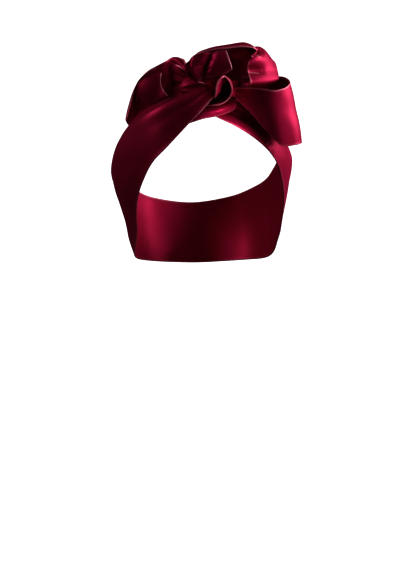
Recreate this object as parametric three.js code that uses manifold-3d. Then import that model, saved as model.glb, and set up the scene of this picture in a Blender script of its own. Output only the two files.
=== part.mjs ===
// A satin head wrap tied in a bow knot at the front, in the form that it has when it is worn.
// Millimetres, +Z up, -Y to the front. The origin is the middle of its hollow.
import * as THREE from "three";
import { mergeVertices } from "three/addons/utils/BufferGeometryUtils.js";
import Module from "manifold-3d";

// Doubled satin, a little thicker in the band than in the loops and tails.
const BAND_WALL = 1.6;
const LOOP_WALL = 1.4;
// Clearance between cloth and the knot that holds it.
const KNOT_GAP = 0.5;
// Points closer together than this are one point.
const SAME_POINT = 1e-3;
// Facets along and across the cloth.
const BAND_STEPS = { along: 80, across: 8 };
const LOOP_STEPS = { along: 26, across: 8 };
const FOLD_STEPS = { along: 24, across: 4 };

const SATIN = { color: 0x5a0a1c, roughness: 0.35, metalness: 0 };
const SHADED_SATIN = { color: 0x3c0613, roughness: 0.45, metalness: 0 };

// Each table has a row for a section across the cloth, in order along it:
// low and high are the two hems, puff is how far the cloth is rounded out between them,
// crest is where across the width the puff is highest, gather is the depth of its lengthwise folds.

// From the knot down the left side, round the back and up the right side. Low is the front hem.
const BAND = [
  { low: [4, -56, 142], high: [-3, -43, 148], puff: 2, crest: 0.5, gather: 0.6 },
  { low: [0, -68, 138.5], high: [-9, -47, 148], puff: 5, crest: 0.55, gather: 0.7 },
  { low: [-7, -71, 131], high: [-17, -46, 146], puff: 7, crest: 0.6, gather: 0.6 },
  { low: [-16, -69, 122], high: [-26.5, -42, 140.5], puff: 10, crest: 0.56, gather: 0.4 },
  { low: [-28, -71, 110], high: [-39.5, -34, 133], puff: 12, crest: 0.55, gather: 0.2 },
  { low: [-37, -72, 101], high: [-50.5, -23, 126], puff: 11.5, crest: 0.55, gather: 0.1 },
  { low: [-48, -66, 88], high: [-60, -8, 114], puff: 10, crest: 0.55, gather: 0.1 },
  { low: [-55, -55, 71], high: [-67.5, 8, 101], puff: 10.5, crest: 0.56, gather: 0.2 },
  { low: [-58, -41, 55], high: [-70, 24, 88], puff: 12, crest: 0.52, gather: 0.3 },
  { low: [-58, -31, 41], high: [-69, 37, 77], puff: 10, crest: 0.5, gather: 0.4 },
  { low: [-57, -20, 27], high: [-68, 46, 67], puff: 8, crest: 0.5, gather: 0.3 },
  { low: [-57, -3, 12], high: [-63, 57, 56], puff: 6, crest: 0.5, gather: 0.2 },
  { low: [-56, 18, -4], high: [-54, 70, 47], puff: 5, crest: 0.5, gather: 0.1 },
  { low: [-40, 60, -16], high: [-35, 90, 36], puff: 4, crest: 0.5, gather: 0 },
  { low: [0, 79, -22], high: [0, 97, 30], puff: 4, crest: 0.5, gather: 0 },
  { low: [42, 61, -17], high: [34, 90, 36], puff: 4, crest: 0.5, gather: 0 },
  { low: [61, 30, -8], high: [53, 72, 47], puff: 5, crest: 0.5, gather: 0.1 },
  { low: [66, 12, 11], high: [62, 58, 56], puff: 5, crest: 0.5, gather: 0.2 },
  { low: [67, 0, 29], high: [67, 47, 67], puff: 5, crest: 0.5, gather: 0.2 },
  { low: [66, -16, 49], high: [70, 37, 77], puff: 6, crest: 0.5, gather: 0.2 },
  { low: [61, -36, 69], high: [72, 24, 87], puff: 8, crest: 0.5, gather: 0.2 },
  { low: [54, -52, 86], high: [68, 8, 98], puff: 7, crest: 0.45, gather: 0.2 },
  { low: [43, -61, 99], high: [58, -6, 111], puff: 8, crest: 0.4, gather: 0.2 },
  { low: [30, -65, 110], high: [46, -20, 121], puff: 8, crest: 0.38, gather: 0.1 },
  { low: [17, -66, 118], high: [31, -33, 131], puff: 6, crest: 0.38, gather: 0.2 },
  { low: [4, -64, 124], high: [15, -42, 137], puff: 4, crest: 0.4, gather: 0.4 },
  { low: [-4, -60, 129], high: [4, -48, 136], puff: 2, crest: 0.45, gather: 0.5 },
];

// From the right of the knot, across the band's right end, to under its left end. Low is the bottom.
const FRONT_FOLD = [
  { low: [19, -50, 135.5], high: [18, -50, 139.5], puff: 0.5, crest: 0.5, gather: 0 },
  { low: [19.8, -58.5, 131.5], high: [17.5, -58.5, 137.5], puff: 1.6, crest: 0.5, gather: 0 },
  { low: [13, -65.7, 127.8], high: [9, -64, 136], puff: 4, crest: 0.5, gather: 0 },
  { low: [3, -66, 124.8], high: [-1, -62.5, 133.5], puff: 4, crest: 0.5, gather: 0 },
  { low: [-7, -64.5, 122.8], high: [-9, -61, 132], puff: 2.6, crest: 0.5, gather: 0 },
  { low: [-19, -61, 118.5], high: [-17, -60, 123], puff: 0.5, crest: 0.5, gather: 0 },
];

// Round the opening of the small loop. Low is its front rim and high is its back, in the knot.
const KNOT_LOOP = [
  { low: [-4, -65.5, 133.6], high: [0.5, -57, 138.6], puff: 0, crest: 0.5, gather: 0 },
  { low: [2.5, -75, 134.8], high: [5.6, -58, 139.2], puff: 0.6, crest: 0.5, gather: 0 },
  { low: [10.2, -77, 136.6], high: [12, -58, 140.2], puff: 1, crest: 0.5, gather: 0 },
  { low: [16, -74, 141], high: [16.5, -58, 144.6], puff: 1, crest: 0.5, gather: 0 },
  { low: [16.1, -73, 147.3], high: [16.7, -58, 149], puff: 1, crest: 0.5, gather: 0 },
  { low: [14.7, -74, 153.3], high: [15.5, -58, 153.2], puff: 1, crest: 0.5, gather: 0 },
  { low: [8.6, -77, 157.5], high: [12.5, -58, 154.5], puff: 0, crest: 0.5, gather: 0 },
  { low: [4.2, -80, 156], high: [10, -58, 152.8], puff: -0.4, crest: 0.4, gather: 0 },
  { low: [1.5, -81, 150.5], high: [7.8, -58, 149.5], puff: -0.4, crest: 0.4, gather: 0 },
  { low: [1, -80, 144.5], high: [8, -58, 146], puff: -1.5, crest: 0.4, gather: 0 },
  { low: [1, -77, 141], high: [6, -58, 144], puff: -0.5, crest: 0.4, gather: 0 },
  { low: [2.4, -69, 139.6], high: [6, -58, 142.2], puff: 0, crest: 0.4, gather: 0 },
];

// From the knot along the front of the loop, round its left end and back behind. High is the top hem.
const LEFT_LOOP = [
  { low: [-13, -43, 142], high: [-13, -43, 152], puff: 0, crest: 0.6, gather: 0.2 },
  { low: [-20, -38, 142], high: [-20, -38, 161], puff: 2, crest: 0.7, gather: 0.7 },
  { low: [-29, -29, 136], high: [-26, -31.5, 163.5], puff: 3, crest: 0.7, gather: 0.4 },
  { low: [-40, -22, 130], high: [-38.5, -30.5, 162], puff: 3, crest: 0.6, gather: 0.2 },
  { low: [-51, -14, 121], high: [-49.5, -29, 157], puff: 4, crest: 0.6, gather: 0.1 },
  { low: [-57, -3, 113], high: [-57.5, -24, 147], puff: 2.5, crest: 0.5, gather: 0 },
  { low: [-60, 6, 109], high: [-62, -14, 127], puff: 2, crest: 0.5, gather: 0 },
  { low: [-59, 11, 109], high: [-64.5, -2, 116], puff: 1, crest: 0.5, gather: 0 },
  { low: [-57, 12, 113], high: [-62.5, -2, 126], puff: 1, crest: 0.5, gather: 0 },
  { low: [-51, 7, 124], high: [-57, -5, 143], puff: 2, crest: 0.5, gather: 0.1 },
  { low: [-43, 2, 134], high: [-48, -8, 155.5], puff: 2, crest: 0.5, gather: 0.2 },
  { low: [-33, -4, 140.5], high: [-35, -8, 163], puff: -1, crest: 0.65, gather: 0.2 },
  { low: [-23, -15, 143], high: [-22.5, -13, 168.5], puff: -2, crest: 0.68, gather: 0.2 },
  { low: [-17, -28, 143], high: [-17, -24, 166], puff: -1, crest: 0.65, gather: 0.3 },
  { low: [-15, -38, 142], high: [-16, -37.5, 151], puff: 0, crest: 0.5, gather: 0.2 },
];

// From the free end to the fold at the left and back to the knot. High is the top hem.
const LEFT_TAIL = [
  { low: [-33, -49.5, 139.5], high: [-38.5, -46.5, 158.5], puff: 1, crest: 0.5, gather: 0 },
  { low: [-40, -51.5, 138], high: [-44.5, -48, 157], puff: 2.5, crest: 0.45, gather: 0 },
  { low: [-48.5, -50, 136], high: [-51.5, -46.5, 153.5], puff: 2, crest: 0.45, gather: 0 },
  { low: [-54, -44.5, 135], high: [-57, -42, 149.5], puff: 1, crest: 0.5, gather: 0 },
  { low: [-47, -41, 137.5], high: [-49, -39.5, 156], puff: -1, crest: 0.5, gather: 0 },
  { low: [-37, -40.5, 141], high: [-38, -36.5, 164], puff: -2, crest: 0.5, gather: 0.1 },
  { low: [-29.5, -38.5, 145], high: [-29.5, -34.5, 165], puff: -1.5, crest: 0.5, gather: 0.3 },
  { low: [-22, -44, 147], high: [-22, -42, 159], puff: 0, crest: 0.5, gather: 0.4 },
  { low: [-15, -48, 148], high: [-15, -47.5, 153], puff: 0, crest: 0.5, gather: 0.1 },
];

// From the free end at the right to the knot. High is the top hem.
const CENTRE_TAIL = [
  { low: [15, -77, 163], high: [11, -71, 177], puff: 3, crest: 0.35, gather: 0 },
  { low: [9, -76, 159.5], high: [3, -71, 177], puff: 3, crest: 0.4, gather: 0 },
  { low: [1, -74.5, 157], high: [-7, -69.5, 176], puff: 3, crest: 0.5, gather: 0.2 },
  { low: [-6, -71, 155], high: [-15, -65.5, 172], puff: 3, crest: 0.5, gather: 0.3 },
  { low: [-11, -66, 153.5], high: [-20.5, -60, 165], puff: 2, crest: 0.5, gather: 0.4 },
  { low: [-9, -61, 152], high: [-15, -58, 157], puff: 1, crest: 0.5, gather: 0.3 },
  { low: [-4, -58.5, 150], high: [-8, -57, 152], puff: 0, crest: 0.5, gather: 0 },
];

// From the knot up the pleats at the right, over the top and down to the knot. Low is the front hem.
const CROWN_LOOP = [
  { low: [17, -48, 146], high: [24, -41, 144], puff: 0, crest: 0.5, gather: 0 },
  { low: [24, -54, 146.5], high: [44, -46, 145], puff: 2, crest: 0.4, gather: 0 },
  { low: [30, -66.5, 150.5], high: [55, -50, 150.5], puff: 1.5, crest: 0.5, gather: 0 },
  { low: [28.8, -60.5, 160], high: [56, -42, 158.5], puff: 3, crest: 0.45, gather: 0 },
  { low: [28.8, -62.5, 167], high: [54, -33, 165.5], puff: 6, crest: 0.42, gather: 0 },
  { low: [32.5, -58.5, 171.5], high: [49, -27, 163], puff: 11, crest: 0.48, gather: 0 },
  { low: [35.5, -64, 176.5], high: [41, -18, 153], puff: 10.5, crest: 0.42, gather: 0 },
  { low: [26, -67, 179.5], high: [30, -13, 145], puff: 11, crest: 0.4, gather: 0 },
  { low: [12, -68, 179], high: [16, -12, 148.5], puff: 9.2, crest: 0.48, gather: 0 },
  { low: [-2, -66, 176.5], high: [3, -13, 148.5], puff: 7.4, crest: 0.47, gather: 0.2 },
  { low: [-13, -61, 170.5], high: [-8, -18, 147], puff: 6, crest: 0.4, gather: 0.3 },
  { low: [-15, -57, 160.5], high: [-3, -32, 151], puff: 1, crest: 0.5, gather: 0.3 },
  { low: [-5, -54, 152], high: [1, -38, 150], puff: 0, crest: 0.5, gather: 0.2 },
];

// From the knot along the back, round the right edge and across the front. High is the top hem.
const RIGHT_LOOP = [
  { low: [20, -37, 138], high: [18, -37, 146], puff: 0, crest: 0.5, gather: 0.4 },
  { low: [34, -35, 134], high: [28, -34, 153], puff: 1, crest: 0.5, gather: 0.4 },
  { low: [51, -36, 126], high: [40, -34, 153], puff: 1, crest: 0.5, gather: 0.2 },
  { low: [66, -43, 112], high: [53, -38, 154], puff: 1.5, crest: 0.5, gather: 0 },
  { low: [73, -55, 102.5], high: [60, -52, 154.5], puff: 1.5, crest: 0.5, gather: 0 },
  { low: [72, -66, 102.5], high: [62.5, -64, 151.5], puff: 1.5, crest: 0.5, gather: 0 },
  { low: [66, -73.5, 102], high: [57.5, -73, 148], puff: 1.5, crest: 0.5, gather: 0 },
  { low: [54, -77.5, 102.5], high: [48.5, -78, 146.5], puff: 1.5, crest: 0.5, gather: 0 },
  { low: [41.5, -77, 115], high: [39, -77, 147.5], puff: 1, crest: 0.5, gather: 0 },
  { low: [32, -71.5, 127], high: [31, -71.5, 148], puff: 1, crest: 0.5, gather: 0.1 },
  { low: [25, -64, 134], high: [25, -64, 147.5], puff: 1, crest: 0.5, gather: 0.3 },
  { low: [21, -56, 138.5], high: [20, -54, 147], puff: 0, crest: 0.5, gather: 0.4 },
];

// Lengthwise folds across the width of gathered cloth.
const GATHER_FOLDS = 2;

// The tie under the loops: a rounded lump, creased all round.
const KNOT = { middle: [3, -46, 145], radii: [27, 14, 15], creases: 11, creaseDepth: 0.06 };
const KNOT_FACETS = { round: 33, high: 12 };

const wasm = await Module();
wasm.setup();

// The value at t, 0 to 1, of a smooth curve through one number from each row.
function smoothValue(values, t) {
  const place = t * (values.length - 1);
  const i = Math.min(Math.floor(place), values.length - 2);
  const pick = (k) => values[THREE.MathUtils.clamp(k, 0, values.length - 1)];
  const f = place - i;
  const slopeHere = (pick(i + 1) - pick(i - 1)) / 2;
  const slopeNext = (pick(i + 2) - pick(i)) / 2;
  return (
    pick(i) * (2 * f ** 3 - 3 * f ** 2 + 1) +
    slopeHere * (f ** 3 - 2 * f ** 2 + f) +
    pick(i + 1) * (3 * f ** 2 - 2 * f ** 3) +
    slopeNext * (f ** 3 - f ** 2)
  );
}

// A smooth rise and fall across the width, 1 at the crest and 0 at both hems.
function hump(across, crest) {
  const bent = across ** (Math.log(0.5) / Math.log(crest));
  return 4 * bent * (1 - bent);
}

// The middle surface of a strip of cloth, as rows of points along it and across it.
function clothSurface(rows, steps) {
  const at = (name, t) => smoothValue(rows.map((row) => row[name]), t);
  const hem = (name, t) =>
    new THREE.Vector3(...[0, 1, 2].map((axis) => smoothValue(rows.map((row) => row[name][axis]), t)));
  const middle = (t) => hem("low", t).add(hem("high", t));
  const surface = [];
  for (let i = 0; i <= steps.along; i++) {
    const t = i / steps.along;
    const low = hem("low", t);
    const width = hem("high", t).sub(low);
    const halfStep = 0.5 / steps.along;
    const along = middle(Math.min(t + halfStep, 1)).sub(middle(Math.max(t - halfStep, 0)));
    const outward = width.clone().cross(along).normalize();
    const section = [];
    for (let j = 0; j <= steps.across; j++) {
      const v = j / steps.across;
      const rounded = at("puff", t) * hump(v, at("crest", t));
      const folded = at("gather", t) * Math.sin(2 * Math.PI * GATHER_FOLDS * v);
      section.push(low.clone().addScaledVector(width, v).addScaledVector(outward, rounded + folded));
    }
    surface.push(section);
  }
  return surface;
}

// Directions along and across a surface at one of its points, and square to it.
function directionsAt(surface, i, j) {
  const section = surface[i];
  const along = surface[Math.min(i + 1, surface.length - 1)][j].clone().sub(surface[Math.max(i - 1, 0)][j]);
  const across = section[Math.min(j + 1, section.length - 1)].clone().sub(section[Math.max(j - 1, 0)]);
  const normal = across.clone().cross(along).normalize();
  return { along, across, normal };
}

// The surface with its four borders moved outward, square to each border.
function widened(surface, margin) {
  return surface.map((section, i) =>
    section.map((point, j) => {
      const { along, across, normal } = directionsAt(surface, i, j);
      const moved = point.clone();
      if (j === 0) moved.addScaledVector(along.clone().cross(normal).normalize(), -margin);
      if (j === section.length - 1) moved.addScaledVector(along.clone().cross(normal).normalize(), margin);
      if (i === 0) moved.addScaledVector(normal.clone().cross(across).normalize(), -margin);
      if (i === surface.length - 1) moved.addScaledVector(normal.clone().cross(across).normalize(), margin);
      return moved;
    }),
  );
}

// The closed wall of the given thickness about a surface.
function clothWall(surface, thickness) {
  const rows = surface.length;
  const columns = surface[0].length;
  const positions = [];
  for (const side of [0.5, -0.5])
    for (let i = 0; i < rows; i++)
      for (let j = 0; j < columns; j++)
        positions.push(
          ...surface[i][j].clone().addScaledVector(directionsAt(surface, i, j).normal, side * thickness),
        );
  const outside = (i, j) => i * columns + j;
  const inside = (i, j) => rows * columns + outside(i, j);
  const index = [];
  const quad = (a, b, c, d) => index.push(a, b, c, a, c, d);
  for (let i = 0; i + 1 < rows; i++) {
    for (let j = 0; j + 1 < columns; j++) {
      quad(outside(i, j), outside(i, j + 1), outside(i + 1, j + 1), outside(i + 1, j));
      quad(inside(i, j), inside(i + 1, j), inside(i + 1, j + 1), inside(i, j + 1));
    }
    quad(outside(i, 0), outside(i + 1, 0), inside(i + 1, 0), inside(i, 0));
    const top = columns - 1;
    quad(outside(i, top), inside(i, top), inside(i + 1, top), outside(i + 1, top));
  }
  for (let j = 0; j + 1 < columns; j++) {
    quad(outside(0, j), inside(0, j), inside(0, j + 1), outside(0, j + 1));
    const end = rows - 1;
    quad(outside(end, j), outside(end, j + 1), inside(end, j + 1), inside(end, j));
  }
  const geometry = new THREE.BufferGeometry();
  geometry.setAttribute("position", new THREE.Float32BufferAttribute(positions, 3));
  geometry.setIndex(index);
  return geometry;
}

// A closed geometry as a manifold-3d solid.
function solidOf(geometry) {
  const bare = new THREE.BufferGeometry();
  bare.setAttribute("position", geometry.getAttribute("position"));
  bare.setIndex(geometry.index);
  const merged = mergeVertices(bare, SAME_POINT);
  const triVerts = new Uint32Array(merged.index.array);
  return new wasm.Manifold(
    new wasm.Mesh({ numProp: 3, vertProperties: merged.getAttribute("position").array, triVerts }),
  );
}

function geometryOf(solid) {
  const mesh = solid.getMesh();
  const geometry = new THREE.BufferGeometry();
  geometry.setAttribute("position", new THREE.BufferAttribute(mesh.vertProperties, 3));
  geometry.setIndex(new THREE.BufferAttribute(mesh.triVerts, 1));
  return geometry;
}

// The knot's lump, creased along its length, before the cloth is let into it.
function knotLump() {
  const lump = new THREE.SphereGeometry(1, KNOT_FACETS.round, KNOT_FACETS.high).rotateZ(Math.PI / 2);
  const place = lump.getAttribute("position");
  const p = new THREE.Vector3();
  for (let i = 0; i < place.count; i++) {
    p.fromBufferAttribute(place, i);
    const round = Math.atan2(p.z, p.y);
    const crease = 1 - KNOT.creaseDepth * (1 + Math.cos(KNOT.creases * round));
    place.setXYZ(i, p.x, p.y * crease, p.z * crease);
  }
  return lump.scale(...KNOT.radii).translate(...KNOT.middle);
}

// The knot with a seat cut in it for each strip of cloth that runs into it.
function knotGeometry(strips) {
  let knot = solidOf(knotLump());
  for (const { surface, wall } of strips)
    knot = knot.subtract(solidOf(clothWall(widened(surface, KNOT_GAP), wall + 2 * KNOT_GAP)));
  const pieces = knot.decompose();
  pieces.sort((a, b) => b.volume() - a.volume());
  return geometryOf(pieces[0]);
}

function piece(name, geometry, look) {
  geometry.computeVertexNormals();
  const mesh = new THREE.Mesh(geometry, new THREE.MeshStandardMaterial(look));
  mesh.name = name;
  return mesh;
}

const strips = [
  { name: "band", rows: BAND, steps: BAND_STEPS, wall: BAND_WALL },
  { name: "front_fold", rows: FRONT_FOLD, steps: FOLD_STEPS, wall: LOOP_WALL },
  { name: "knot_loop", rows: KNOT_LOOP, steps: FOLD_STEPS, wall: LOOP_WALL },
  { name: "left_loop", rows: LEFT_LOOP, steps: LOOP_STEPS, wall: LOOP_WALL },
  { name: "left_tail", rows: LEFT_TAIL, steps: LOOP_STEPS, wall: LOOP_WALL },
  { name: "centre_tail", rows: CENTRE_TAIL, steps: LOOP_STEPS, wall: LOOP_WALL },
  { name: "crown_loop", rows: CROWN_LOOP, steps: LOOP_STEPS, wall: LOOP_WALL },
  { name: "right_loop", rows: RIGHT_LOOP, steps: LOOP_STEPS, wall: LOOP_WALL },
].map((strip) => ({ ...strip, surface: clothSurface(strip.rows, strip.steps) }));

const headband = new THREE.Group();
for (const { name, surface, wall } of strips) headband.add(piece(name, clothWall(surface, wall), SATIN));
headband.add(piece("knot", knotGeometry(strips), SHADED_SATIN));

export default headband;
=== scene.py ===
"""Looks of a satin head wrap tied in a bow knot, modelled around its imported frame."""
import math
from collections import namedtuple

import bpy
import numpy as np
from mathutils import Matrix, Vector, noise


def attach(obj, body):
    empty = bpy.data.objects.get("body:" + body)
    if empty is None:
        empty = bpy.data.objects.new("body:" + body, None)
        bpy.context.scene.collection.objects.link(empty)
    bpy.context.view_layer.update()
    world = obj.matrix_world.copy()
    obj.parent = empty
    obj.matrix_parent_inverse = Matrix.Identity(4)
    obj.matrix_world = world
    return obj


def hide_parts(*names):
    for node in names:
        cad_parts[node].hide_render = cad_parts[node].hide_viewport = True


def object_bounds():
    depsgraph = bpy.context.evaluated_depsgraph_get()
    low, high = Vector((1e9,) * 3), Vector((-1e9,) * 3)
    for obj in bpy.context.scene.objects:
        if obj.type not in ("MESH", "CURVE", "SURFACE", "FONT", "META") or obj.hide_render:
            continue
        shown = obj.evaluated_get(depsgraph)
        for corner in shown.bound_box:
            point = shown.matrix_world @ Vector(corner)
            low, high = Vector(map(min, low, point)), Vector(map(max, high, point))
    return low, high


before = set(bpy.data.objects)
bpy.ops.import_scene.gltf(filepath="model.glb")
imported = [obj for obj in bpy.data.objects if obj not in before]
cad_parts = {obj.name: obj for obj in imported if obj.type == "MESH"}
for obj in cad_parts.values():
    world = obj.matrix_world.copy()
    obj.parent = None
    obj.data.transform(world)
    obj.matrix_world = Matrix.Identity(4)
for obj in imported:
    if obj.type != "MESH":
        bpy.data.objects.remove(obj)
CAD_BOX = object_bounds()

bl_info = {
    "name": "Satin headband",
    "version": (1, 0, 0),
    "blender": (4, 5, 0),
    "location": "View3D > Sidebar > Headband",
    "description": "Models a satin head wrap with a knotted bow, its cloth and its studio",
    "category": "Object",
}

# Lengths in the tables of the cloth are millimetres, and the picture's size is in pixels.
MM = 0.001
PICTURE = {"width": 400, "height": 570}
CLOTH_MAP = "cloth"
# Name of the attribute with the pale hems, partly painted highlight, and the painted highlights along fold
# edges.
HEM_AND_HIGHLIGHT_ATTRIBUTE = "hem"

# The least length that a vector is divided by.
LEAST_LENGTH = 1e-12

# Where the thick hem and its pale colour end, in hem widths from the edge, and the most of a strip's
# width or length that the close rows at a hem may take.
# The pale colour of a hem is partly the turned edge's own and partly a painted highlight where light
# catches it.
HEM_END = 1.6
PALE_END = 1.3
MOST_HEM_SHARE = 0.1

# A painted highlight line's half width, and where its pale colour ends, in half widths from its line.
HIGHLIGHT_HALF_WIDTH = 0.5
HIGHLIGHT_END = 1.5

# The part of a fold's arch that is cut off at each of its ends, the width of a pleat's step,
# and the span of the cloth's soft unevenness.
FOLD_CUT = 0.15
PLEAT_STEP = 0.6
CRUMPLE_SPAN = 22

# A section across a strip of cloth: its two hems, how far it is rounded out between them,
# where across the width it is roundest, and the depth of its lengthwise gathers.
Section = namedtuple("Section", "low high puff crest gather")

# Lines on a strip run from start to end, both as shares (along, across) of the strip.
# A fold is a ridge that falls off over its width; a negative depth makes a valley.
# A pleat lets the cloth to the right of its line in by its depth, most a quarter of the way along.
# A painted highlight is a pale line painted where light catches the edge of a fold or pleat, or the rolled
# hem.
Fold = namedtuple("Fold", "start end width depth")
Pleat = namedtuple("Pleat", "start end width depth")
Seam = namedtuple("Seam", "start end strength")

# Waves across the width that make up a gather: how many, how strong, and where they start.
Wave = namedtuple("Wave", "count share shift")
GATHER_WAVES = (
    Wave(2, 1.0, 0.0),
    Wave(5, 0.4, 0.13),
)

# From the knot down the left side, round the back and up the right side. Low is the front hem.
BAND = (
    Section((4, -56, 142), (-3, -43, 148), 2, 0.5, 0.6),
    Section((0, -68, 138.5), (-9, -47, 148), 5, 0.55, 0.7),
    Section((-7, -71, 131), (-17, -46, 146), 7, 0.6, 0.6),
    Section((-16, -69, 122), (-26.5, -42, 140.5), 10, 0.56, 0.4),
    Section((-28, -71, 110), (-39.5, -34, 133), 12, 0.55, 0.2),
    Section((-37, -72, 101), (-50.5, -23, 126), 11.5, 0.55, 0.1),
    Section((-48, -66, 88), (-60, -8, 114), 10, 0.55, 0.1),
    Section((-55, -55, 71), (-67.5, 8, 101), 10.5, 0.56, 0.2),
    Section((-58, -41, 55), (-70, 24, 88), 12, 0.52, 0.3),
    Section((-58, -31, 41), (-69, 37, 77), 10, 0.5, 0.4),
    Section((-57, -20, 27), (-68, 46, 67), 8, 0.5, 0.3),
    Section((-57, -3, 12), (-63, 57, 56), 6, 0.5, 0.2),
    Section((-56, 18, -4), (-54, 70, 47), 5, 0.5, 0.1),
    Section((-40, 60, -16), (-35, 90, 36), 4, 0.5, 0),
    Section((0, 79, -22), (0, 97, 30), 4, 0.5, 0),
    Section((42, 61, -17), (34, 90, 36), 4, 0.5, 0),
    Section((61, 30, -8), (53, 72, 47), 5, 0.5, 0.1),
    Section((66, 12, 11), (62, 58, 56), 5, 0.5, 0.2),
    Section((67, 0, 29), (67, 47, 67), 5, 0.5, 0.2),
    Section((66, -16, 49), (70, 37, 77), 6, 0.5, 0.2),
    Section((61, -36, 69), (72, 24, 87), 8, 0.5, 0.2),
    Section((54, -52, 86), (68, 8, 98), 7, 0.45, 0.2),
    Section((43, -61, 99), (58, -6, 111), 8, 0.4, 0.2),
    Section((30, -65, 110), (46, -20, 121), 8, 0.38, 0.1),
    Section((17, -66, 118), (31, -33, 131), 6, 0.38, 0.2),
    Section((4, -64, 124), (15, -42, 137), 4, 0.4, 0.4),
    Section((-4, -60, 129), (4, -48, 136), 2, 0.45, 0.5),
)

# From the right of the knot, across the band's right end, to under its left end. Low is the bottom.
FRONT_FOLD = (
    Section((19, -50, 135.5), (18, -50, 139.5), 0.5, 0.5, 0),
    Section((19.8, -58.5, 131.5), (17.5, -58.5, 137.5), 1.6, 0.5, 0),
    Section((13, -65.7, 127.8), (9, -64, 136), 4, 0.5, 0),
    Section((3, -66, 124.8), (-1, -62.5, 133.5), 4, 0.5, 0),
    Section((-7, -64.5, 122.8), (-9, -61, 132), 2.6, 0.5, 0),
    Section((-19, -61, 118.5), (-17, -60, 123), 0.5, 0.5, 0),
)

# Round the opening of the small loop. Low is its front rim and high is its back, in the knot.
KNOT_LOOP = (
    Section((-4, -65.5, 133.6), (0.5, -57, 138.6), 0, 0.5, 0),
    Section((2.5, -75, 134.8), (5.6, -58, 139.2), 0.6, 0.5, 0),
    Section((9, -77, 137.5), (11, -58, 141), 1, 0.5, 0),
    Section((13.5, -74, 141.5), (15.5, -58, 145), 1, 0.5, 0),
    Section((14.8, -73, 147), (16.5, -58, 149), 1, 0.5, 0),
    Section((12.8, -74, 153), (15, -58, 153), 1, 0.5, 0),
    Section((8.6, -77, 157.5), (12.5, -58, 154.5), 0, 0.5, 0),
    Section((4.4, -80, 156), (11, -58, 152.5), -1, 0.4, 0),
    Section((1.6, -81, 150.5), (9.5, -58, 149.5), -1.5, 0.4, 0),
    Section((1, -80, 144.5), (8, -58, 146), -1.5, 0.4, 0),
    Section((1, -77, 141), (6, -58, 144), -0.5, 0.4, 0),
    Section((2.4, -69, 139.6), (6, -58, 142.2), 0, 0.4, 0),
)

# From the knot along the front of the loop, round its left end and back behind. High is the top hem.
LEFT_LOOP = (
    Section((-13, -43, 142), (-13, -43, 152), 0, 0.6, 0.2),
    Section((-20, -38, 142), (-20, -38, 161), 2, 0.7, 0.7),
    Section((-29, -29, 136), (-26, -31.5, 163.5), 3, 0.7, 0.4),
    Section((-40, -22, 130), (-38.5, -30.5, 162), 3, 0.6, 0.2),
    Section((-51, -14, 121), (-49.5, -29, 157), 4, 0.6, 0.1),
    Section((-57, -3, 113), (-57.5, -24, 147), 2.5, 0.5, 0),
    Section((-60, 6, 109), (-62, -14, 127), 2, 0.5, 0),
    Section((-59, 11, 109), (-64.5, -2, 116), 1, 0.5, 0),
    Section((-57, 12, 113), (-62.5, -2, 126), 1, 0.5, 0),
    Section((-51, 7, 124), (-57, -5, 143), 2, 0.5, 0.1),
    Section((-43, 2, 134), (-48, -8, 155.5), 2, 0.5, 0.2),
    Section((-33, -8, 140.5), (-35, -4, 162.5), -1, 0.65, 0.2),
    Section((-23, -17, 143), (-22.5, -9, 167.5), -2, 0.68, 0.2),
    Section((-17, -28, 143), (-17, -22, 165.5), -1, 0.65, 0.3),
    Section((-15, -38, 142), (-16, -37.5, 151), 0, 0.5, 0.2),
)

# From the free end to the fold at the left and back to the knot. High is the top hem.
LEFT_TAIL = (
    Section((-33, -49.5, 139.5), (-38.5, -46.5, 158.5), 1, 0.5, 0),
    Section((-40, -51.5, 138), (-44.5, -48, 157), 2.5, 0.45, 0),
    Section((-48.5, -50, 136), (-51.5, -46.5, 153.5), 2, 0.45, 0),
    Section((-54, -44.5, 135), (-57, -42, 149.5), 1, 0.5, 0),
    Section((-47, -41, 137.5), (-49, -39.5, 156), -1, 0.5, 0),
    Section((-37, -40.5, 141), (-38, -36.5, 164), -2, 0.5, 0.1),
    Section((-29.5, -38.5, 145), (-29.5, -34.5, 165), -1.5, 0.5, 0.3),
    Section((-22, -44, 147), (-22, -42, 159), 0, 0.5, 0.4),
    Section((-15, -48, 148), (-15, -47.5, 153), 0, 0.5, 0.1),
)

# From the free end at the right to the knot. High is the top hem.
CENTRE_TAIL = (
    Section((15, -77, 163), (11, -71, 177), 3, 0.35, 0),
    Section((9, -76, 159.5), (3, -71, 177), 3, 0.4, 0),
    Section((1, -74.5, 157), (-7, -69.5, 176), 3, 0.5, 0.2),
    Section((-6, -71, 155), (-15, -65.5, 172), 3, 0.5, 0.3),
    Section((-11, -66, 153.5), (-20.5, -60, 165), 2, 0.5, 0.4),
    Section((-9, -61, 152), (-15, -58, 157), 1, 0.5, 0.3),
    Section((-4, -58.5, 150), (-8, -57, 152), 0, 0.5, 0),
)

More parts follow.
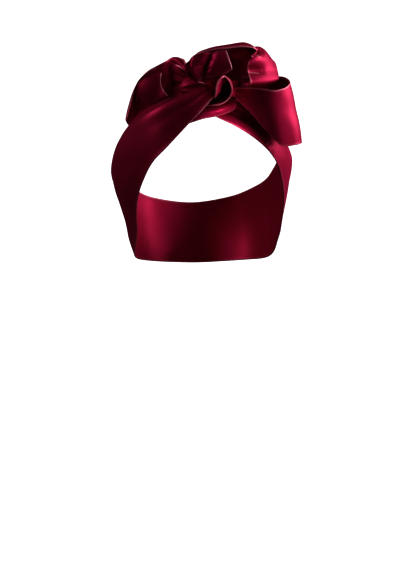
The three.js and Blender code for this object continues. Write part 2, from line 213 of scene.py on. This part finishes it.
# From the knot up the pleats at the right, over the top and down to the knot. Low is the front hem.
CROWN_LOOP = (
    Section((17, -48, 146), (24, -41, 144), 0, 0.5, 0),
    Section((24, -54, 146.5), (44, -46, 145), 2, 0.4, 0),
    Section((30, -66.5, 150.5), (55, -50, 150.5), 1.5, 0.5, 0),
    Section((28.8, -60.5, 160), (56, -42, 158.5), 3, 0.45, 0),
    Section((28.8, -62.5, 167), (54, -33, 165.5), 6, 0.42, 0),
    Section((32.5, -58.5, 171.5), (49, -27, 163), 11, 0.48, 0),
    Section((35.5, -64, 176.5), (41, -18, 153), 10.5, 0.42, 0),
    Section((26, -67, 179.5), (30, -13, 145), 11, 0.4, 0),
    Section((12, -68, 179), (16, -12, 148.5), 9.2, 0.48, 0),
    Section((-2, -66, 176.5), (3, -13, 148.5), 7.4, 0.47, 0.2),
    Section((-13, -61, 170.5), (-8, -18, 147), 6, 0.4, 0.3),
    Section((-15, -57, 160.5), (-3, -32, 151), 1, 0.5, 0.3),
    Section((-5, -54, 152), (1, -38, 150), 0, 0.5, 0.2),
)

# From the knot along the back, round the right edge and across the front. High is the top hem.
RIGHT_LOOP = (
    Section((20, -37, 138), (18, -37, 146), 0, 0.5, 0.4),
    Section((34, -35, 134), (28, -34, 153), 1, 0.5, 0.4),
    Section((51, -36, 126), (40, -34, 153), 1, 0.5, 0.2),
    Section((66, -43, 112), (53, -38, 154), 1.5, 0.5, 0),
    Section((73, -55, 102.5), (60, -52, 154.5), 1.5, 0.5, 0),
    Section((72, -66, 102.5), (62.5, -64, 151.5), 1.5, 0.5, 0),
    Section((66, -73.5, 102), (57.5, -73, 148), 1.5, 0.5, 0),
    Section((54, -77.5, 102.5), (48.5, -78, 146.5), 1.5, 0.5, 0),
    Section((41.5, -77, 115), (39, -77, 147.5), 1, 0.5, 0),
    Section((32, -71.5, 127), (31, -71.5, 148), 1, 0.5, 0.1),
    Section((25, -64, 134), (25, -64, 147.5), 1, 0.5, 0.3),
    Section((21, -56, 138.5), (20, -54, 147), 0, 0.5, 0.4),
)

# Folds that run out of the knot at the left, a crease at the right, and the pleat, the painted highlights
# along the front hem and the pleat's edge, and the rolled hem at the ends.
BAND_LINES = (
    Fold((0.02, 0.66), (0.20, 0.79), 8, -5),
    Fold((0.03, 0.46), (0.20, 0.60), 9, 2),
    Fold((0.07, 0.24), (0.20, 0.42), 5, -0.4),
    Fold((0.77, 0.30), (0.83, 0.75), 7, -1.8),
    Seam((0.02, 0.0), (0.14, 0.0), 0.7),
    Pleat((0.965, 0.27), (0.84, 0.05), 14, 7),
    Seam((0.85, 0.07), (0.96, 0.26), 0.8),
    Fold((0.965, 0), (0.84, 0), 5, 3),
)

# Two creases with painted highlights along their edges where the loop turns down at the right, and its
# rolled front hem.
CROWN_LINES = (
    Fold((0.255, 0.02), (0.235, 0.40), 3, -1.6),
    Seam((0.242, 0.0), (0.222, 0.33), 0.5),
    Fold((0.405, 0.05), (0.375, 0.42), 4, -4.5),
    Seam((0.385, 0.02), (0.338, 0.33), 0.4),
    Fold((0.54, 0.05), (0.80, 0.05), 2.5, 2),
)

# Gathers that fan out from the knot.
CENTRE_TAIL_LINES = (
    Fold((0.22, 1.0), (0.53, 0.1), 4, -6),
    Fold((0.47, 1.0), (0.64, 0.05), 2.2, 2),
    Fold((0.56, 1.0), (0.71, 0.1), 2.2, -3),
    Fold((0.64, 1.0), (0.78, 0.1), 2, 1.5),
)

# A soft dent in the front, towards the right edge.
RIGHT_LOOP_LINES = (
    Fold((0.62, 0.72), (0.42, 0.50), 9, -1.2),
)

# A ridge in the front beside the knot, and two small folds under the top hem at the back.
LEFT_LOOP_LINES = (
    Fold((0.06, 0.95), (0.20, 0.80), 3, 1.6),
    Fold((0.83, 0.98), (0.90, 0.80), 2, -2),
    Fold((0.88, 0.98), (0.94, 0.80), 1.8, 1.8),
)

# The gathered tie under the loops.
KNOT = {"middle": (3, -46, 145), "radii": (27, 14, 15), "creases": 11, "crease_depth": 0.1}
KNOT_FACETS = {"segments": 132, "ring_count": 40}

# Each strip of cloth: its sections and lines, its facets, how pale its low hem, its high hem and
# its start are, the size it was cut to, how it is held and how far its start is cut back in a hollow,
# as a share of its length. A strip with a pale start has a free end.
# The pale hems are partly the edge's own colour and partly painted highlight.
Strip = namedtuple("Strip", "node sections lines along across pale flat held hollow", defaults=[0])
STRIPS = {
    "satin_band": Strip("band", BAND, BAND_LINES, 260, 44, (0.15, 0.35, 0), (0.062, 0.56), "stretched"),
    "satin_front_fold": Strip("front_fold", FRONT_FOLD, (), 60, 16, (0.3, 0.3, 0), (0.011, 0.05), "folded"),
    "satin_knot_loop": Strip("knot_loop", KNOT_LOOP, (), 90, 20, (0.35, 0, 0), (0.019, 0.065), "folded"),
    "satin_left_loop": Strip(
        "left_loop", LEFT_LOOP, LEFT_LOOP_LINES, 150, 36, (0, 0.7, 0), (0.027, 0.14), "gathered"
    ),
    "satin_left_tail": Strip(
        "left_tail", LEFT_TAIL, (), 90, 30, (0.2, 0, 1), (0.019, 0.065), "folded", 0.075
    ),
    "satin_centre_tail": Strip(
        "centre_tail", CENTRE_TAIL, CENTRE_TAIL_LINES, 100, 48, (0.4, 0.1, 1), (0.023, 0.055), "gathered"
    ),
    "satin_crown_loop": Strip(
        "crown_loop", CROWN_LOOP, CROWN_LINES, 220, 52, (0.6, 0, 0), (0.047, 0.14), "gathered"
    ),
    "satin_right_loop": Strip(
        "right_loop", RIGHT_LOOP, RIGHT_LOOP_LINES, 160, 50, (0.2, 0.5, 0), (0.039, 0.125), "gathered"
    ),
}

# The slow unevenness of the yarn and the fine floats of the weave: how many waves of noise go into a metre
# along and across the cloth, and the noise's detail and roughness.
Grain = namedtuple("Grain", "waves detail roughness")
YARN = Grain((90, 900, 1), 3, 0.6)
FLOATS = Grain((600, 2600, 1), 2, 0.5)

# How dark the darkest yarn is, how far the yarn changes the roughness, and the height of the weave.
YARN_SHADE = 0.8
YARN_ROUGHNESS = 0.05
WEAVE_BUMP = {"Strength": 0.15, "Distance": 0.0002}

# Gloss and sheen that are the same all over the satin.
SATIN_FINISH = {
    "Specular IOR Level": 0.15,
    "Specular Tint": (1.0, 0.3, 0.45, 1),
    "Sheen Weight": 0.05,
    "Sheen Roughness": 0.5,
    "Sheen Tint": (1.0, 0.2, 0.35, 1),
}

# Sockets of a Mix node that mixes colours: the first colour, the second and the result.
MIX_FIRST, MIX_SECOND, MIX_RESULT = 6, 7, 2

# Square soft lights: where each stands and what it faces in metres, its side, its power in watts and
# how wide it shines.
Light = namedtuple("Light", "place target side power spread", defaults=[math.pi])
LIGHTS = {
    "key": Light((1.38, 0.05, 0.62), (0, -0.03, 0.1), 1.0, 24),
    "left": Light((-1.0, 0.15, 0.8), (0, -0.03, 0.1), 0.4, 4.2),
    "fill": Light((0.75, -0.85, -0.1), (0.02, -0.05, 0.12), 0.6, 1.9),
    "bounce": Light((0.012, -0.15, 0.08), (0.014, -0.064, 0.121), 0.02, 0.0036, math.radians(32)),
}
SKY_STRENGTH = 0.04

# The floor's side in metres, the grey that it throws back on the cloth, and its roughness.
FLOOR_SIDE = 80
FLOOR_GREY = (0.1, 0.1, 0.1, 1)
FLOOR_ROUGHNESS = 0.9


class HeadbandCloth(bpy.types.PropertyGroup):
    """Sizes of the cloth."""

    band_wall: bpy.props.FloatProperty(
        name="Band thickness",
        description="Thickness of the doubled satin of the band at its hems",
        default=1.5 * MM,
        subtype="DISTANCE",
        unit="LENGTH",
    )
    loop_wall: bpy.props.FloatProperty(
        name="Loop thickness",
        description="Thickness of the doubled satin of the loops and tails at their hems",
        default=1.3 * MM,
        subtype="DISTANCE",
        unit="LENGTH",
    )
    field_share: bpy.props.FloatProperty(
        name="Field thickness",
        description="Thickness between the hems as a share of the thickness at them",
        default=0.65,
        subtype="FACTOR",
    )
    hem_width: bpy.props.FloatProperty(
        name="Hem width",
        description="Width of the thicker turned edge",
        default=1.2 * MM,
        subtype="DISTANCE",
        unit="LENGTH",
    )
    crumple: bpy.props.FloatProperty(
        name="Crumple",
        description="Height of the soft unevenness all over the cloth",
        default=0.35 * MM,
        subtype="DISTANCE",
        unit="LENGTH",
    )


class HeadbandColours(bpy.types.PropertyGroup):
    """Colours and gloss of the satin."""

    satin: bpy.props.FloatVectorProperty(
        name="Satin",
        description="Colour of the satin",
        default=(0.36, 0.012, 0.062),
        min=0,
        max=1,
        subtype="COLOR",
    )
    # Colour of the pale hems, partly the edge's own and partly painted highlight, and of the painted
    # highlights along fold edges.
    hem: bpy.props.FloatVectorProperty(
        name="Hem",
        description="Paler colour of the turned edges",
        default=(0.9, 0.36, 0.44),
        min=0,
        max=1,
        subtype="COLOR",
    )
    lustre: bpy.props.FloatProperty(
        name="Lustre",
        description="How strongly the satin's gloss takes its own colour",
        default=0.38,
        min=0,
        max=1,
        subtype="FACTOR",
    )
    roughness: bpy.props.FloatProperty(
        name="Roughness",
        description="How soft the satin's gloss is",
        default=0.46,
        min=0,
        max=1,
        subtype="FACTOR",
    )


class HeadbandStage(bpy.types.PropertyGroup):
    """Camera, floor and lights."""

    azimuth: bpy.props.FloatProperty(
        name="Azimuth",
        description="Angle of the view to the side of straight ahead",
        default=math.radians(-6),
        subtype="ANGLE",
    )
    elevation: bpy.props.FloatProperty(
        name="Elevation",
        description="Angle of the view above the horizon",
        default=math.radians(12),
        subtype="ANGLE",
    )
    distance: bpy.props.FloatProperty(
        name="Distance",
        description="Distance from the camera to the hollow's middle",
        default=1.4,
        subtype="DISTANCE",
        unit="LENGTH",
    )
    pixel: bpy.props.FloatProperty(
        name="Pixel",
        description="Size of a picture's pixel at the hollow's middle",
        default=0.85 * MM,
        subtype="DISTANCE",
        unit="LENGTH",
    )
    middle_pixel: bpy.props.FloatVectorProperty(
        name="Middle pixel",
        description="Pixel of the picture where the hollow's middle is, across and down",
        default=(203, 255),
        size=2,
        subtype="COORDINATES",
    )
    floor_drop: bpy.props.FloatProperty(
        name="Floor drop",
        description="Height of the lowest hem above the floor",
        default=0.5,
        subtype="DISTANCE",
        unit="LENGTH",
    )
    floor_colour: bpy.props.FloatVectorProperty(
        name="Floor",
        description="Colour of the floor",
        default=(1.0, 1.0, 1.0),
        min=0,
        max=1,
        subtype="COLOR",
    )


class HeadbandSettings(bpy.types.PropertyGroup):
    """All that a user would change."""

    cloth: bpy.props.PointerProperty(type=HeadbandCloth)
    colours: bpy.props.PointerProperty(type=HeadbandColours)
    stage: bpy.props.PointerProperty(type=HeadbandStage)


def through_rows(values, places):
    """The values at places from 0 to 1, on smooth curves through one row of them after another."""
    span = places * (len(values) - 1)
    row = np.minimum(span.astype(int), len(values) - 2)
    part = (span - row)[:, None]

    def pick(number):
        return values[np.clip(number, 0, len(values) - 1)]

    slope_here = (pick(row + 1) - pick(row - 1)) / 2
    slope_next = (pick(row + 2) - pick(row)) / 2
    return (
        pick(row) * (2 * part**3 - 3 * part**2 + 1)
        + slope_here * (part**3 - 2 * part**2 + part)
        + pick(row + 1) * (3 * part**2 - 2 * part**3)
        + slope_next * (part**3 - part**2)
    )


def unit(vectors):
    """Vectors made one long."""
    return vectors / np.maximum(np.linalg.norm(vectors, axis=-1, keepdims=True), LEAST_LENGTH)


def grid_normals(points):
    """Directions square to a grid of points, to the side that the strips' tables call outward."""
    along = np.gradient(points, axis=0)
    across = np.gradient(points, axis=1)
    return unit(np.cross(across, along))


def travelled(points, axis):
    """How far each point of a grid is from the grid's edge, along the given axis of it."""
    steps = np.linalg.norm(np.diff(points, axis=axis), axis=-1)
    pad = [(1, 0) if k == axis else (0, 0) for k in range(2)]
    return np.cumsum(np.pad(steps, pad), axis=axis)


def spaced(count, length, hem, both_ends):
    """Shares from 0 to 1 with a close pair at each hemmed end, hem and length in the same unit."""
    close = min(hem / length, MOST_HEM_SHARE)
    ends = [0, close / 2, close]
    if both_ends:
        tail = [1 - close, 1 - close / 2, 1]
        return np.concatenate([ends, np.linspace(close, 1 - close, count - 3)[1:-1], tail])
    return np.concatenate([ends, np.linspace(close, 1, count - 1)[1:]])


def strip_points(strip, hem):
    """The grid of points of a strip's middle surface, in millimetres."""
    numbers = np.array([(*s.low, *s.high, s.puff, s.crest, s.gather) for s in strip.sections], float)
    places = np.linspace(0, 1, strip.along + 1)
    if strip.pale[2]:
        middle = through_rows((numbers[:, 0:3] + numbers[:, 3:6]) / 2, places)
        length = np.linalg.norm(np.diff(middle, axis=0), axis=1).sum()
        places = spaced(strip.along, length, hem, False)
    row = through_rows(numbers, places)
    low, high = row[:, 0:3], row[:, 3:6]
    width = high - low
    outward = unit(np.cross(width, np.gradient((low + high) / 2, places, axis=0)))
    puff, crest, gather = row[:, 6:7], row[:, 7:8], row[:, 8:9]
    share = np.array([spaced(strip.across, w, hem, True) for w in np.linalg.norm(width, axis=1)])
    # Bent shares pass one half at the crest, so the arch over them is highest there.
    bent = share ** (np.log(0.5) / np.log(crest))
    lift = puff * 4 * bent * (1 - bent)
    for wave in GATHER_WAVES:
        lift = lift + gather * wave.share * np.sin(2 * np.pi * (wave.count * share + wave.shift))
    points = low[:, None] + width[:, None] * share[:, :, None] + outward[:, None] * lift[:, :, None]
    return hollowed(points, places, strip.hollow)


def hollowed(points, places, depth):
    """A strip's grid with its start cut back in a round hollow, deepest in the middle."""
    made = points.copy()
    across = np.linspace(0, 1, points.shape[1])
    for column, cut in enumerate(depth * 4 * across * (1 - across)):
        kept = places + cut * (1 - places)
        for axis in range(3):
            made[:, column, axis] = np.interp(kept, places, points[:, column, axis])
    return made


def laid_flat(points):
    """A strip's grid as flat cloth, in millimetres along it and across from its middle line."""
    run = travelled(points, 0).mean(axis=1, keepdims=True)
    reach = travelled(points, 1)
    return np.stack([np.broadcast_to(run, reach.shape), reach - reach[:, -1:] / 2], axis=-1)


def from_line(flat, line):
    """For places in flat cloth: the share along a line, the way from it, and the way to its left."""
    def spot(share):
        across = flat[round(share[0] * (len(flat) - 1))]
        return across[0] + (across[-1] - across[0]) * share[1]

    start = spot(line.start)
    run = spot(line.end) - start
    length = np.linalg.norm(run)
    share = np.clip((flat - start) @ run / length**2, 0, 1)
    off = flat - start - share[..., None] * run
    left = (run[0] * off[..., 1] - run[1] * off[..., 0]) / length
    return share, np.linalg.norm(off, axis=-1), left


def line_lift(flat, lines):
    """How far the folds and pleats raise each place in flat cloth."""
    lift = np.zeros(flat.shape[:2])
    for line in lines:
        if isinstance(line, Seam):
            continue
        share, away, left = from_line(flat, line)
        form = line.depth * np.exp(-((away / line.width) ** 2))
        if isinstance(line, Pleat):
            lift -= form * (0.5 - 0.5 * np.tanh(left / PLEAT_STEP)) * np.sin(np.pi * np.sqrt(share))
        else:
            lift += form * np.sin(np.pi * (FOLD_CUT + (1 - 2 * FOLD_CUT) * share))
    return lift


def painted_highlight_share(flat, lines):
    """How pale the painted highlights make each place in flat cloth."""
    shade = np.zeros(flat.shape[:2])
    for line in lines:
        # Pale lines painted where light would catch a fold's edge or the hem: painted highlights.
        if isinstance(line, Seam):
            away = from_line(flat, line)[1]
            shade = np.maximum(shade, line.strength * np.clip(HIGHLIGHT_END - away / HIGHLIGHT_HALF_WIDTH, 0, 1))
    return shade


def crumple_lift(points, height):
    """A soft unevenness over a grid of points, the same in each run."""
    flat = points.reshape(-1, 3) * (1 / CRUMPLE_SPAN)
    return np.array([noise.noise(Vector(p)) for p in flat]).reshape(points.shape[:2]) * height


def activate(piece):
    """Only this object is selected and active."""
    bpy.ops.object.select_all(action="DESELECT")
    piece.select_set(True)
    bpy.context.view_layer.objects.active = piece


def put_modifier(piece, kind, **values):
    """A modifier, added with these values and applied."""
    activate(piece)
    bpy.ops.object.modifier_add(type=kind)
    modifier = piece.modifiers[-1]
    for name, value in values.items():
        setattr(modifier, name, value)
    bpy.ops.object.modifier_apply(modifier=modifier.name)


def strip_shape(strip, cloth):
    """A strip's points, the ways along and across it, and how thick and how pale it is at each point."""
    hem = cloth.hem_width / MM
    points = strip_points(strip, hem)
    flat = laid_flat(points)
    lift = line_lift(flat, strip.lines) + crumple_lift(points, cloth.crumple / MM)
    points = points + grid_normals(points) * lift[:, :, None]
    run, reach = travelled(points, 0), travelled(points, 1)
    hem_share = np.zeros(reach.shape)
    # How pale each point is: the painted highlights, then the pale hems, partly painted highlight.
    pale_share = painted_highlight_share(flat, strip.lines)
    for edge, pale in zip((reach, reach[:, -1:] - reach, run), strip.pale):
        if pale or edge is not run:
            hem_share = np.maximum(hem_share, np.clip(HEM_END - edge / hem, 0, 1))
            pale_share = np.maximum(pale_share, pale * np.clip(PALE_END - edge / hem, 0, 1))
    thickness = cloth.field_share + (1 - cloth.field_share) * hem_share
    return points, run, reach, thickness, pale_share


def vertex_places(mesh):
    """The places of a mesh's vertices, one row each."""
    places = np.zeros(len(mesh.vertices) * 3)
    mesh.vertices.foreach_get("co", places)
    return places.reshape(-1, 3)


def finish_piece(piece, node):
    """A smooth satin piece that stands for a node of the frame."""
    activate(piece)
    bpy.ops.object.shade_smooth()
    piece.data.materials.clear()
    piece.data.materials.append(satin_material())
    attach(piece, "root")
    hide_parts(node)


def strip_piece(name, wall):
    """A strip of cloth with turned hems, as an object of its own."""
    strip = STRIPS[name]
    points, run, reach, thickness, pale = strip_shape(strip, bpy.context.scene.headband.cloth)
    bpy.ops.object.select_all(action="DESELECT")
    bpy.ops.mesh.primitive_grid_add(x_subdivisions=strip.along, y_subdivisions=strip.across, size=1)
    piece = bpy.context.object
    piece.name = name
    mesh = piece.data
    place = vertex_places(mesh)
    row = np.rint((place[:, 0] + 0.5) * strip.along).astype(int)
    column = np.rint((place[:, 1] + 0.5) * strip.across).astype(int)
    mesh.vertices.foreach_set("co", (points[row, column] * MM).ravel())

    corner = np.zeros(len(mesh.loops), int)
    mesh.loops.foreach_get("vertex_index", corner)
    spread = np.stack([run.mean(axis=1)[row], reach[row, column]], axis=-1) * MM
    cloth_map = mesh.uv_layers[0]
    cloth_map.name = CLOTH_MAP
    cloth_map.data.foreach_set("uv", spread[corner].ravel())
    # How pale each point is: the hems, partly painted highlight, and the painted highlights along fold
    # edges.
    hems = mesh.attributes.new(HEM_AND_HIGHLIGHT_ATTRIBUTE, "FLOAT", "POINT")
    hems.data.foreach_set("value", pale[row, column])
    group = piece.vertex_groups.new(name="thickness")
    for number, share in enumerate(thickness[row, column]):
        group.add([number], share, "REPLACE")
    put_modifier(
        piece,
        "SOLIDIFY",
        thickness=wall,
        offset=0,
        use_quality_normals=True,
        vertex_group="thickness",
    )
    put_modifier(piece, "SUBSURF", levels=1, render_levels=1)
    piece.vertex_groups.clear()
    finish_piece(piece, strip.node)


def add_node(tree, kind, inputs=None, **settings):
    """A shader node with its settings, and its inputs set or linked."""
    made = tree.nodes.new(kind)
    for name, value in settings.items():
        setattr(made, name, value)
    for name, value in (inputs or {}).items():
        if isinstance(value, bpy.types.NodeSocket):
            tree.links.new(value, made.inputs[name])
        else:
            made.inputs[name].default_value = value
    return made


def grain_noise(tree, cloth, grain):
    """Noise that lies along the cloth, as fine as the grain says."""
    stretch = add_node(tree, "ShaderNodeMapping", {"Vector": cloth, "Scale": grain.waves})
    inputs = {
        "Vector": stretch.outputs["Vector"],
        "Scale": 1,
        "Detail": grain.detail,
        "Roughness": grain.roughness,
    }
    return add_node(tree, "ShaderNodeTexNoise", inputs).outputs["Fac"]


def weave_group():
    """Fine floats of the satin weave, and the slow unevenness of its yarn."""
    name = "satin_weave"
    if name in bpy.data.node_groups:
        return bpy.data.node_groups[name]
    tree = bpy.data.node_groups.new(name, "ShaderNodeTree")
    tree.interface.new_socket("Cloth", in_out="INPUT", socket_type="NodeSocketVector")
    tree.interface.new_socket("Height", in_out="OUTPUT", socket_type="NodeSocketFloat")
    tree.interface.new_socket("Yarn", in_out="OUTPUT", socket_type="NodeSocketFloat")
    cloth = tree.nodes.new("NodeGroupInput").outputs["Cloth"]
    leave = tree.nodes.new("NodeGroupOutput")
    tree.links.new(grain_noise(tree, cloth, FLOATS), leave.inputs["Height"])
    tree.links.new(grain_noise(tree, cloth, YARN), leave.inputs["Yarn"])
    return tree


def mixed_colour(tree, share, first, second):
    """The colour that goes from the first to the second as the share goes from 0 to 1."""
    inputs = {"Factor": share, MIX_FIRST: first, MIX_SECOND: second}
    return add_node(tree, "ShaderNodeMix", inputs, data_type="RGBA").outputs[MIX_RESULT]


def satin_material():
    """Glossy burgundy satin, paler along its turned edges, partly as painted highlight, and with painted
    highlights along fold edges.
    """
    name = "burgundy_satin"
    if name in bpy.data.materials:
        return bpy.data.materials[name]
    colours = bpy.context.scene.headband.colours
    material = bpy.data.materials.new(name)
    material.use_nodes = True
    tree = material.node_tree
    shader = tree.nodes["Principled BSDF"]
    cloth = add_node(tree, "ShaderNodeUVMap", uv_map=CLOTH_MAP)
    weave = add_node(tree, "ShaderNodeGroup", node_tree=weave_group())
    tree.links.new(cloth.outputs["UV"], weave.inputs["Cloth"])
    darker = (*(YARN_SHADE * c for c in colours.satin), 1)
    yarn = mixed_colour(tree, weave.outputs["Yarn"], darker, (*colours.satin, 1))
    # Paler at the hems, partly painted highlight, and at the painted highlights along fold edges.
    hems = add_node(tree, "ShaderNodeAttribute", attribute_name=HEM_AND_HIGHLIGHT_ATTRIBUTE)
    colour = mixed_colour(tree, hems.outputs["Fac"], yarn, (*colours.hem, 1))
    tree.links.new(colour, shader.inputs["Base Color"])
    rough = add_node(
        tree,
        "ShaderNodeMapRange",
        {
            "Value": weave.outputs["Yarn"],
            "To Min": colours.roughness - YARN_ROUGHNESS,
            "To Max": colours.roughness + YARN_ROUGHNESS,
        },
    )
    tree.links.new(rough.outputs["Result"], shader.inputs["Roughness"])
    bump = add_node(tree, "ShaderNodeBump", {**WEAVE_BUMP, "Height": weave.outputs["Height"]})
    tree.links.new(bump.outputs["Normal"], shader.inputs["Normal"])
    shader.inputs["Metallic"].default_value = colours.lustre
    for socket, value in SATIN_FINISH.items():
        shader.inputs[socket].default_value = value
    return material


class HEADBAND_OT_band(bpy.types.Operator):
    """Models the band and the fold that wraps its two ends"""

    bl_idname = "headband.band"
    bl_label = "Band"

    def execute(self, context):
        cloth = context.scene.headband.cloth
        strip_piece("satin_band", cloth.band_wall)
        strip_piece("satin_front_fold", cloth.loop_wall)
        return {"FINISHED"}


class HEADBAND_OT_loops(bpy.types.Operator):
    """Models the loops of the bow"""

    bl_idname = "headband.loops"
    bl_label = "Loops"

    def execute(self, context):
        cloth = context.scene.headband.cloth
        for name in ("satin_knot_loop", "satin_left_loop", "satin_crown_loop", "satin_right_loop"):
            strip_piece(name, cloth.loop_wall)
        return {"FINISHED"}


class HEADBAND_OT_tails(bpy.types.Operator):
    """Models the two short tails of the bow"""

    bl_idname = "headband.tails"
    bl_label = "Tails"

    def execute(self, context):
        cloth = context.scene.headband.cloth
        for name in ("satin_left_tail", "satin_centre_tail"):
            strip_piece(name, cloth.loop_wall)
        return {"FINISHED"}


class HEADBAND_OT_knot(bpy.types.Operator):
    """Models the gathered tie that the loops and tails run into"""

    bl_idname = "headband.knot"
    bl_label = "Knot"

    def execute(self, context):
        bpy.ops.object.select_all(action="DESELECT")
        bpy.ops.mesh.primitive_uv_sphere_add(radius=1, **KNOT_FACETS)
        piece = context.object
        piece.name = "satin_knot"
        mesh = piece.data
        # The sphere's poles are turned to the left and right, and creases run between them.
        lump = vertex_places(mesh)[:, [2, 0, 1]]
        turn = np.arctan2(lump[:, 2], lump[:, 1])
        crease = 1 - KNOT["crease_depth"] * np.abs(np.cos(KNOT["creases"] * turn / 2 + lump[:, 0]))
        lump[:, 1:] *= crease[:, None]
        points = (lump * KNOT["radii"] + KNOT["middle"]) * MM
        mesh.vertices.foreach_set("co", points.ravel())
        mesh.uv_layers[0].name = CLOTH_MAP
        put_modifier(piece, "SUBSURF", levels=1, render_levels=1)
        finish_piece(piece, "knot")
        return {"FINISHED"}


def soft_light(name):
    """A light of the stage that faces its target and isn't seen itself."""
    form = LIGHTS[name]
    bpy.ops.object.light_add(type="AREA", location=form.place)
    light = bpy.context.object
    light.name = name
    light.data.size = form.side
    light.data.energy = form.power
    light.data.spread = form.spread
    light.visible_camera = False
    light.rotation_mode = "QUATERNION"
    light.rotation_quaternion = (Vector(form.target) - Vector(form.place)).to_track_quat("-Z", "Y")


class HEADBAND_OT_stage(bpy.types.Operator):
    """Sets up the camera, the pale floor and the soft lights"""

    bl_idname = "headband.stage"
    bl_label = "Stage"

    def execute(self, context):
        stage = context.scene.headband.stage
        self.add_camera(context, stage)
        self.add_floor(stage)
        self.add_lights(context)
        return {"FINISHED"}

    def add_camera(self, context, stage):
        """The picture's view: its pixel at the hollow's middle gives the lens and the aim."""
        azimuth, elevation = stage.azimuth, stage.elevation
        back = Vector(
            (
                math.sin(azimuth) * math.cos(elevation),
                -math.cos(azimuth) * math.cos(elevation),
                math.sin(elevation),
            )
        )
        turn = (-back).to_track_quat("-Z", "Y")
        off_right = (PICTURE["width"] / 2 - stage.middle_pixel[0]) * stage.pixel
        off_up = (stage.middle_pixel[1] - PICTURE["height"] / 2) * stage.pixel
        aim = turn @ Vector((off_right, off_up, 0))
        bpy.ops.object.camera_add(location=aim + back * stage.distance)
        camera = context.object
        camera.rotation_mode = "QUATERNION"
        camera.rotation_quaternion = turn
        camera.data.lens = stage.distance / (stage.pixel * PICTURE["height"]) * camera.data.sensor_width
        context.scene.camera = camera

    def add_floor(self, stage):
        """A pale floor far below, wide enough to fill the picture."""
        bpy.ops.object.select_all(action="DESELECT")
        height = CAD_BOX[0].z - stage.floor_drop
        bpy.ops.mesh.primitive_plane_add(size=FLOOR_SIDE, location=(0, 0, height))
        floor = bpy.context.object
        floor.name = "pale_floor"
        material = bpy.data.materials.new("pale_floor")
        material.use_nodes = True
        shader = material.node_tree.nodes["Principled BSDF"]
        shader.inputs["Base Color"].default_value = FLOOR_GREY
        shader.inputs["Roughness"].default_value = FLOOR_ROUGHNESS
        shader.inputs["Emission Color"].default_value = (*stage.floor_colour, 1)
        path = material.node_tree.nodes.new("ShaderNodeLightPath")
        material.node_tree.links.new(path.outputs["Is Camera Ray"], shader.inputs["Emission Strength"])
        floor.data.materials.append(material)

    def add_lights(self, context):
        """A large key light from the right, weaker ones from the left and the front, and a dim sky."""
        for name in LIGHTS:
            soft_light(name)
        world = bpy.data.worlds.new("pale_sky")
        world.use_nodes = True
        tree = world.node_tree
        sky = tree.nodes["Background"]
        sky.inputs["Color"].default_value = (1, 1, 1, 1)
        path = tree.nodes.new("ShaderNodeLightPath")
        strength = add_node(
            tree,
            "ShaderNodeMapRange",
            {"Value": path.outputs["Is Camera Ray"], "To Min": SKY_STRENGTH, "To Max": 1.0},
        )
        tree.links.new(strength.outputs["Result"], sky.inputs["Strength"])
        context.scene.world = world
        context.scene.view_settings.view_transform = "Standard"
        context.scene.view_settings.look = "High Contrast"


class HEADBAND_PT_panel(bpy.types.Panel):
    """Lists the headband's pieces and settings"""

    bl_label = "Headband"
    bl_space_type = "VIEW_3D"
    bl_region_type = "UI"
    bl_category = "Headband"

    def draw(self, context):
        for operator in OPERATORS:
            self.layout.operator(operator.bl_idname)
        settings = context.scene.headband
        for group in (settings.cloth, settings.colours, settings.stage):
            box = self.layout.box()
            for name in group.__annotations__:
                box.prop(group, name)


GROUPS = (HeadbandCloth, HeadbandColours, HeadbandStage, HeadbandSettings)
OPERATORS = (HEADBAND_OT_stage, HEADBAND_OT_band, HEADBAND_OT_knot, HEADBAND_OT_loops, HEADBAND_OT_tails)


def register():
    for made in (*GROUPS, *OPERATORS, HEADBAND_PT_panel):
        bpy.utils.register_class(made)
    bpy.types.Scene.headband = bpy.props.PointerProperty(type=HeadbandSettings)


def unregister():
    del bpy.types.Scene.headband
    for made in reversed((*GROUPS, *OPERATORS, HEADBAND_PT_panel)):
        bpy.utils.unregister_class(made)


def main():
    register()
    bpy.ops.headband.stage()
    bpy.ops.headband.band()
    bpy.ops.headband.knot()
    bpy.ops.headband.loops()
    bpy.ops.headband.tails()


if __name__ == "__main__":
    main()
